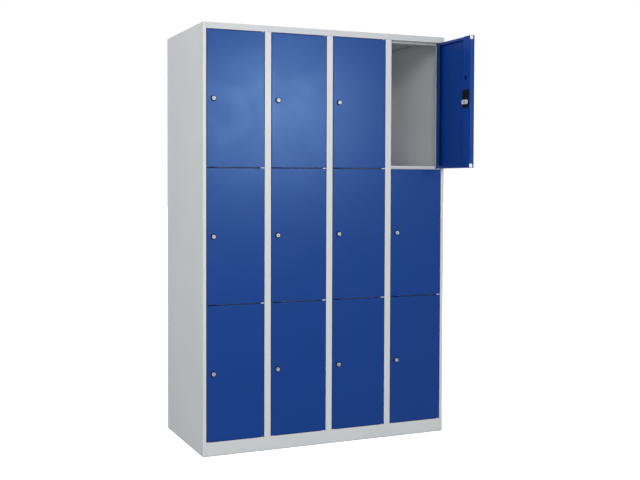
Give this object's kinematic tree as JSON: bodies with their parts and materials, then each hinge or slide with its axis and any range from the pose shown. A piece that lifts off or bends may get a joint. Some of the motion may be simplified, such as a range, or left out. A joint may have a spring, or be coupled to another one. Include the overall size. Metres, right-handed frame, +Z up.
{
  "type": "coin operated locker bank",
  "caption": "Free-standing sheet-steel locker bank with stacked compartments, flush hinged doors, coin-return cylinder locks and a closed plinth.",
  "frame": {"origin": "centre of the cabinet's footprint, on the floor, on the underside of the middle floor bearer", "axes": "+X to the right seen from the front, +Y from the doors towards the back panel, +Z up"},
  "size_m": [1.2, 0.753, 1.85],
  "materials": {
    "frame_grey": "light grey powder coat, satin",
    "door_blue": "blue powder coat, satin",
    "lock_black": "black moulded plastic, fine grain",
    "lock_metal": "nickel plate, satin",
    "pin_steel": "zinc plated",
    "white_plastic": "natural white polyamide"
  },
  "bodies": {
    "cabinet": {"left_side_wall": "frame_grey", "right_side_wall": "frame_grey", "roof_panel": "frame_grey", "base_panel": "frame_grey", "plinth_rear": "frame_grey", "plinth_bearers": "frame_grey", "back_panel": "frame_grey", "stile_1": "frame_grey", "partition_1": "frame_grey", "stile_2": "frame_grey", "partition_2": "frame_grey", "stile_3": "frame_grey", "partition_3": "frame_grey", "shelf_upper_c1": "frame_grey", "shelf_lower_c1": "frame_grey", "shelf_upper_c2": "frame_grey", "shelf_lower_c2": "frame_grey", "shelf_upper_c3": "frame_grey", "shelf_lower_c3": "frame_grey", "shelf_upper_c4": "frame_grey", "shelf_lower_c4": "frame_grey", "pivot_pins": "pin_steel", "pivot_washers": "white_plastic", "pivot_lugs": "white_plastic"},
    "door_r1c1": {"door_leaf_r1c1": "door_blue", "lock_case_r1c1": "lock_black"},
    "cylinder_r1c1": {"lock_cylinder_r1c1": "lock_metal"},
    "door_r1c2": {"door_leaf_r1c2": "door_blue", "lock_case_r1c2": "lock_black"},
    "cylinder_r1c2": {"lock_cylinder_r1c2": "lock_metal"},
    "door_r1c3": {"door_leaf_r1c3": "door_blue", "lock_case_r1c3": "lock_black"},
    "cylinder_r1c3": {"lock_cylinder_r1c3": "lock_metal"},
    "door_r1c4": {"door_leaf_r1c4": "door_blue", "lock_case_r1c4": "lock_black"},
    "cylinder_r1c4": {"lock_cylinder_r1c4": "lock_metal"},
    "door_r2c1": {"door_leaf_r2c1": "door_blue", "lock_case_r2c1": "lock_black"},
    "cylinder_r2c1": {"lock_cylinder_r2c1": "lock_metal"},
    "door_r2c2": {"door_leaf_r2c2": "door_blue", "lock_case_r2c2": "lock_black"},
    "cylinder_r2c2": {"lock_cylinder_r2c2": "lock_metal"},
    "door_r2c3": {"door_leaf_r2c3": "door_blue", "lock_case_r2c3": "lock_black"},
    "cylinder_r2c3": {"lock_cylinder_r2c3": "lock_metal"},
    "door_r2c4": {"door_leaf_r2c4": "door_blue", "lock_case_r2c4": "lock_black"},
    "cylinder_r2c4": {"lock_cylinder_r2c4": "lock_metal"},
    "door_r3c1": {"door_leaf_r3c1": "door_blue", "lock_case_r3c1": "lock_black"},
    "cylinder_r3c1": {"lock_cylinder_r3c1": "lock_metal"},
    "door_r3c2": {"door_leaf_r3c2": "door_blue", "lock_case_r3c2": "lock_black"},
    "cylinder_r3c2": {"lock_cylinder_r3c2": "lock_metal"},
    "door_r3c3": {"door_leaf_r3c3": "door_blue", "lock_case_r3c3": "lock_black"},
    "cylinder_r3c3": {"lock_cylinder_r3c3": "lock_metal"},
    "door_r3c4": {"door_leaf_r3c4": "door_blue", "lock_case_r3c4": "lock_black"},
    "cylinder_r3c4": {"lock_cylinder_r3c4": "lock_metal"}
  },
  "joints": [
    {"name": "door_hinge_r1c1", "type": "hinge", "parent": "cabinet", "child": "door_r1c1", "pos_m": [-0.325, -0.245, 1.52917], "axis": [0, 0, 1], "range_deg": [0, 110]},
    {"name": "lock_turn_r1c1", "type": "hinge", "parent": "door_r1c1", "child": "cylinder_r1c1", "pos_m": [-0.553, -0.245, 1.52917], "axis": [0, -1, 0], "range_deg": [0, 180]},
    {"name": "door_hinge_r1c2", "type": "hinge", "parent": "cabinet", "child": "door_r1c2", "pos_m": [-0.025, -0.245, 1.52917], "axis": [0, 0, 1], "range_deg": [0, 110]},
    {"name": "lock_turn_r1c2", "type": "hinge", "parent": "door_r1c2", "child": "cylinder_r1c2", "pos_m": [-0.253, -0.245, 1.52917], "axis": [0, -1, 0], "range_deg": [0, 180]},
    {"name": "door_hinge_r1c3", "type": "hinge", "parent": "cabinet", "child": "door_r1c3", "pos_m": [0.275, -0.245, 1.52917], "axis": [0, 0, 1], "range_deg": [0, 110]},
    {"name": "lock_turn_r1c3", "type": "hinge", "parent": "door_r1c3", "child": "cylinder_r1c3", "pos_m": [0.047, -0.245, 1.52917], "axis": [0, -1, 0], "range_deg": [0, 180]},
    {"name": "door_hinge_r1c4", "type": "hinge", "parent": "cabinet", "child": "door_r1c4", "pos_m": [0.575, -0.245, 1.52917], "axis": [0, 0, 1], "range_deg": [-90, 20]},
    {"name": "lock_turn_r1c4", "type": "hinge", "parent": "door_r1c4", "child": "cylinder_r1c4", "pos_m": [0.575, -0.473, 1.52917], "axis": [1, 0, 0], "range_deg": [0, 180]},
    {"name": "door_hinge_r2c1", "type": "hinge", "parent": "cabinet", "child": "door_r2c1", "pos_m": [-0.325, -0.245, 0.9415], "axis": [0, 0, 1], "range_deg": [0, 110]},
    {"name": "lock_turn_r2c1", "type": "hinge", "parent": "door_r2c1", "child": "cylinder_r2c1", "pos_m": [-0.553, -0.245, 0.9415], "axis": [0, -1, 0], "range_deg": [0, 180]},
    {"name": "door_hinge_r2c2", "type": "hinge", "parent": "cabinet", "child": "door_r2c2", "pos_m": [-0.025, -0.245, 0.9415], "axis": [0, 0, 1], "range_deg": [0, 110]},
    {"name": "lock_turn_r2c2", "type": "hinge", "parent": "door_r2c2", "child": "cylinder_r2c2", "pos_m": [-0.253, -0.245, 0.9415], "axis": [0, -1, 0], "range_deg": [0, 180]},
    {"name": "door_hinge_r2c3", "type": "hinge", "parent": "cabinet", "child": "door_r2c3", "pos_m": [0.275, -0.245, 0.9415], "axis": [0, 0, 1], "range_deg": [0, 110]},
    {"name": "lock_turn_r2c3", "type": "hinge", "parent": "door_r2c3", "child": "cylinder_r2c3", "pos_m": [0.047, -0.245, 0.9415], "axis": [0, -1, 0], "range_deg": [0, 180]},
    {"name": "door_hinge_r2c4", "type": "hinge", "parent": "cabinet", "child": "door_r2c4", "pos_m": [0.575, -0.245, 0.9415], "axis": [0, 0, 1], "range_deg": [0, 110]},
    {"name": "lock_turn_r2c4", "type": "hinge", "parent": "door_r2c4", "child": "cylinder_r2c4", "pos_m": [0.347, -0.245, 0.9415], "axis": [0, -1, 0], "range_deg": [0, 180]},
    {"name": "door_hinge_r3c1", "type": "hinge", "parent": "cabinet", "child": "door_r3c1", "pos_m": [-0.325, -0.245, 0.35383], "axis": [0, 0, 1], "range_deg": [0, 110]},
    {"name": "lock_turn_r3c1", "type": "hinge", "parent": "door_r3c1", "child": "cylinder_r3c1", "pos_m": [-0.553, -0.245, 0.35383], "axis": [0, -1, 0], "range_deg": [0, 180]},
    {"name": "door_hinge_r3c2", "type": "hinge", "parent": "cabinet", "child": "door_r3c2", "pos_m": [-0.025, -0.245, 0.35383], "axis": [0, 0, 1], "range_deg": [0, 110]},
    {"name": "lock_turn_r3c2", "type": "hinge", "parent": "door_r3c2", "child": "cylinder_r3c2", "pos_m": [-0.253, -0.245, 0.35383], "axis": [0, -1, 0], "range_deg": [0, 180]},
    {"name": "door_hinge_r3c3", "type": "hinge", "parent": "cabinet", "child": "door_r3c3", "pos_m": [0.275, -0.245, 0.35383], "axis": [0, 0, 1], "range_deg": [0, 110]},
    {"name": "lock_turn_r3c3", "type": "hinge", "parent": "door_r3c3", "child": "cylinder_r3c3", "pos_m": [0.047, -0.245, 0.35383], "axis": [0, -1, 0], "range_deg": [0, 180]},
    {"name": "door_hinge_r3c4", "type": "hinge", "parent": "cabinet", "child": "door_r3c4", "pos_m": [0.575, -0.245, 0.35383], "axis": [0, 0, 1], "range_deg": [0, 110]},
    {"name": "lock_turn_r3c4", "type": "hinge", "parent": "door_r3c4", "child": "cylinder_r3c4", "pos_m": [0.347, -0.245, 0.35383], "axis": [0, -1, 0], "range_deg": [0, 180]}
  ]
}
